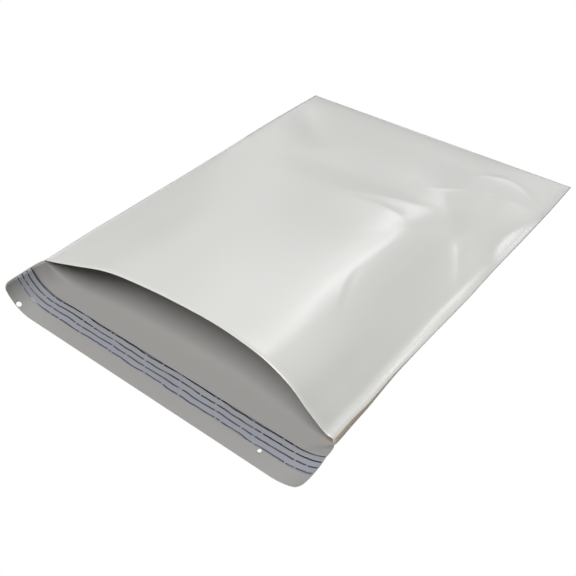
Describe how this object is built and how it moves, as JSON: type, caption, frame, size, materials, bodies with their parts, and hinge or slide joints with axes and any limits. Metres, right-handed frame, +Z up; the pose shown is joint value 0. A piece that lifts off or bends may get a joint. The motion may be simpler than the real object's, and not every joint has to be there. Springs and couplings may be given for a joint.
{
  "type": "poly mailer bag",
  "caption": "Film mailing bag lying open on its back, with a self-seal lip and its release liner",
  "frame": {"origin": "middle of the bounding box's underside, on the table under the bag", "axes": "+X across the bag, +Y from the lip to the bottom fold, +Z up from the table"},
  "size_m": [0.2541, 0.363, 0.0354],
  "materials": {
    "white_film": "semi-gloss polyethylene film, white outside",
    "hot_melt": "tacky hot-melt line",
    "clear_liner": "smooth bluish clear film with four rows of dark dashes"
  },
  "bodies": {
    "root": {"mailer_bag": "white_film", "adhesive_strip": "hot_melt", "release_liner": "clear_liner"}
  },
  "joints": []
}
